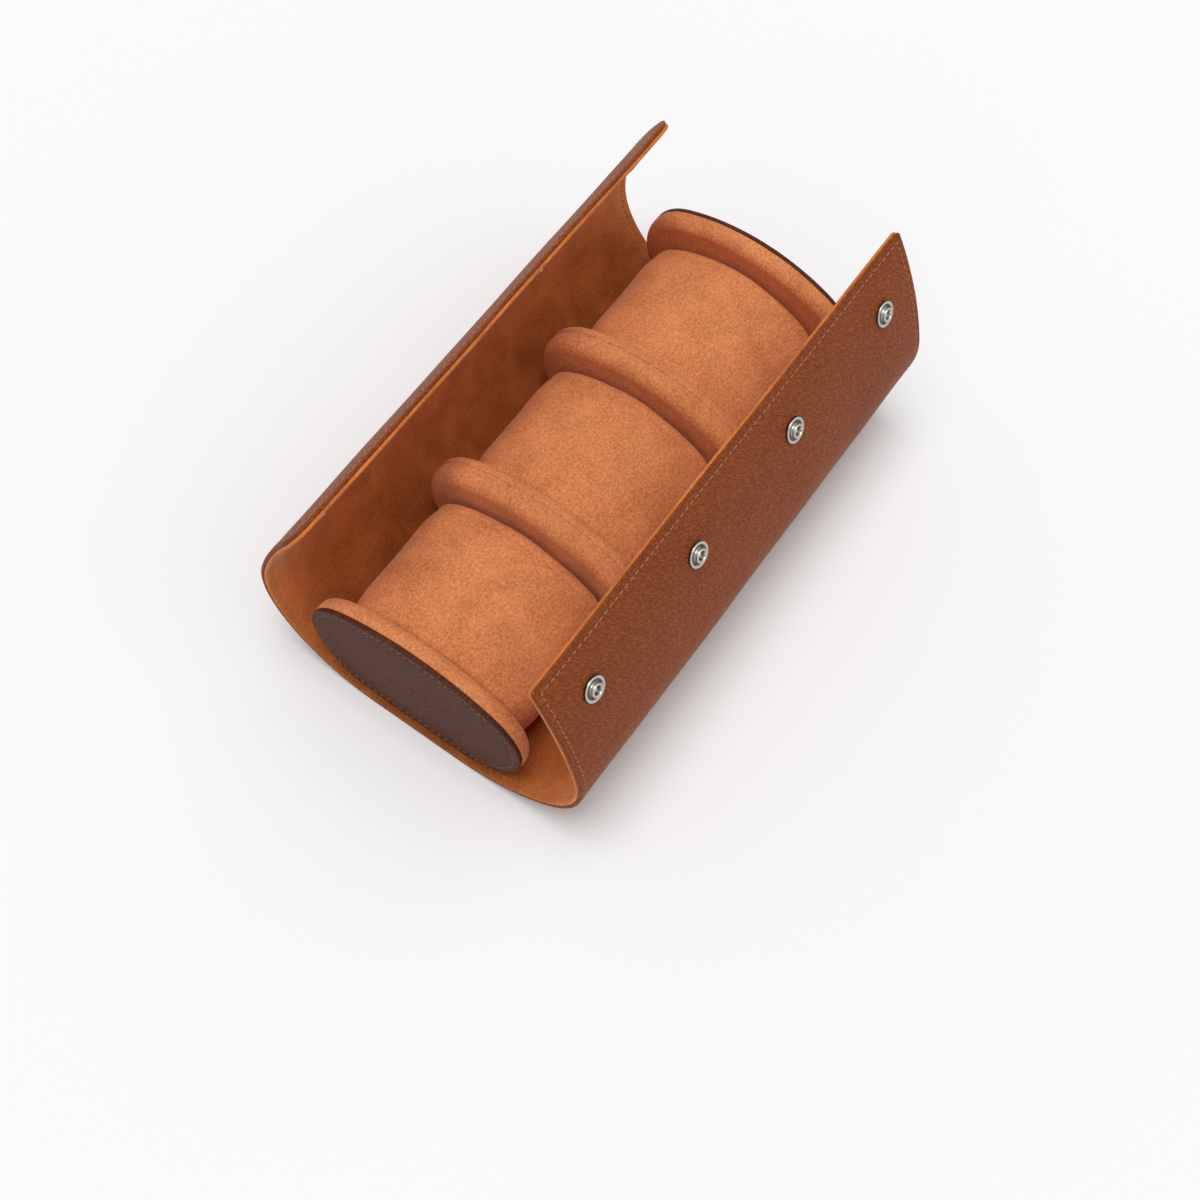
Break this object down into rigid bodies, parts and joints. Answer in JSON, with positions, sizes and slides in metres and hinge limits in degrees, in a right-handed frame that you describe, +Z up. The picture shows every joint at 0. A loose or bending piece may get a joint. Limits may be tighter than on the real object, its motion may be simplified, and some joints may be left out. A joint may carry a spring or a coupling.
{
  "type": "watch roll",
  "caption": "Padded leather watch roll lying open: two curved snap flaps over end panels, dividers and lift-out suede pillows.",
  "frame": {"origin": "centre of the flat bottom face that the roll lies on", "axes": "+X along the roll, +Y towards the back flap with the sockets, +Z up"},
  "size_m": [0.245, 0.1528, 0.117],
  "materials": {
    "leather": "tan leather with a fine cross-hatched grain",
    "panel_leather": "the same leather, darker, on the end panels",
    "suede": "orange-brown suede with a short nap",
    "board": "plain grey fibreboard",
    "foam": "pale upholstery foam",
    "nickel": "polished nickel plate"
  },
  "bodies": {
    "base": {"base_leather": "leather", "base_board": "board", "base_lining": "suede", "near_panel_face": "panel_leather", "near_panel_core": "board", "near_panel_pad": "suede", "far_panel_face": "panel_leather", "far_panel_core": "board", "far_panel_pad": "suede", "divider_1_core": "board", "divider_1_cover": "suede", "divider_2_core": "board", "divider_2_cover": "suede"},
    "front_side": {"front_side_leather": "leather", "front_side_board": "board", "front_side_lining": "suede"},
    "front_shoulder": {"front_shoulder_leather": "leather", "front_shoulder_board": "board", "front_shoulder_lining": "suede"},
    "front_flap": {"front_flap_leather": "leather", "front_flap_board": "board", "front_flap_lining": "suede", "snap_studs": "nickel", "stud_posts": "nickel"},
    "back_side": {"back_side_leather": "leather", "back_side_board": "board", "back_side_lining": "suede"},
    "back_shoulder": {"back_shoulder_leather": "leather", "back_shoulder_board": "board", "back_shoulder_lining": "suede"},
    "back_flap": {"back_flap_leather": "leather", "back_flap_board": "board", "back_flap_lining": "suede", "snap_sockets": "nickel", "socket_posts": "nickel"},
    "pillow_1": {"pillow_1_cover": "suede", "pillow_1_core": "foam"},
    "pillow_2": {"pillow_2_cover": "suede", "pillow_2_core": "foam"},
    "pillow_3": {"pillow_3_cover": "suede", "pillow_3_core": "foam"}
  },
  "joints": [
    {"name": "front_side_fold", "type": "hinge", "parent": "base", "child": "front_side", "pos_m": [0, -0.0363, 0.00525], "axis": [1, 0, 0], "range_deg": [-27, 0]},
    {"name": "front_shoulder_fold", "type": "hinge", "parent": "front_side", "child": "front_shoulder", "pos_m": [0, -0.06526, 0.02229], "axis": [1, 0, 0], "range_deg": [-27.2, 0]},
    {"name": "front_flap_fold", "type": "hinge", "parent": "front_shoulder", "child": "front_flap", "pos_m": [0, -0.07416, 0.06911], "axis": [1, 0, 0], "range_deg": [-13.7, 0]},
    {"name": "back_side_fold", "type": "hinge", "parent": "base", "child": "back_side", "pos_m": [0, 0.0399, 0.00732], "axis": [-1, 0, 0], "range_deg": [-23.1, 0]},
    {"name": "back_shoulder_fold", "type": "hinge", "parent": "back_side", "child": "back_shoulder", "pos_m": [0, 0.0642, 0.03017], "axis": [-1, 0, 0], "range_deg": [-15.68, 0]},
    {"name": "back_flap_fold", "type": "hinge", "parent": "back_shoulder", "child": "back_flap", "pos_m": [0, 0.06417, 0.07467], "axis": [-1, 0, 0], "range_deg": [-18.91, 0]},
    {"name": "pillow_1_lift", "type": "slide", "parent": "base", "child": "pillow_1", "axis": [0, 0, 1], "range_m": [0, 0.066]},
    {"name": "pillow_2_lift", "type": "slide", "parent": "base", "child": "pillow_2", "axis": [0, 0, 1], "range_m": [0, 0.066]},
    {"name": "pillow_3_lift", "type": "slide", "parent": "base", "child": "pillow_3", "axis": [0, 0, 1], "range_m": [0, 0.066]}
  ],
  "couplings": [
    {"joint": "front_shoulder_fold", "follows": "front_side_fold", "ratio": 1},
    {"joint": "front_flap_fold", "follows": "front_side_fold", "ratio": 0.5},
    {"joint": "back_shoulder_fold", "follows": "back_side_fold", "ratio": 0.67},
    {"joint": "back_flap_fold", "follows": "back_side_fold", "ratio": 0.81}
  ]
}
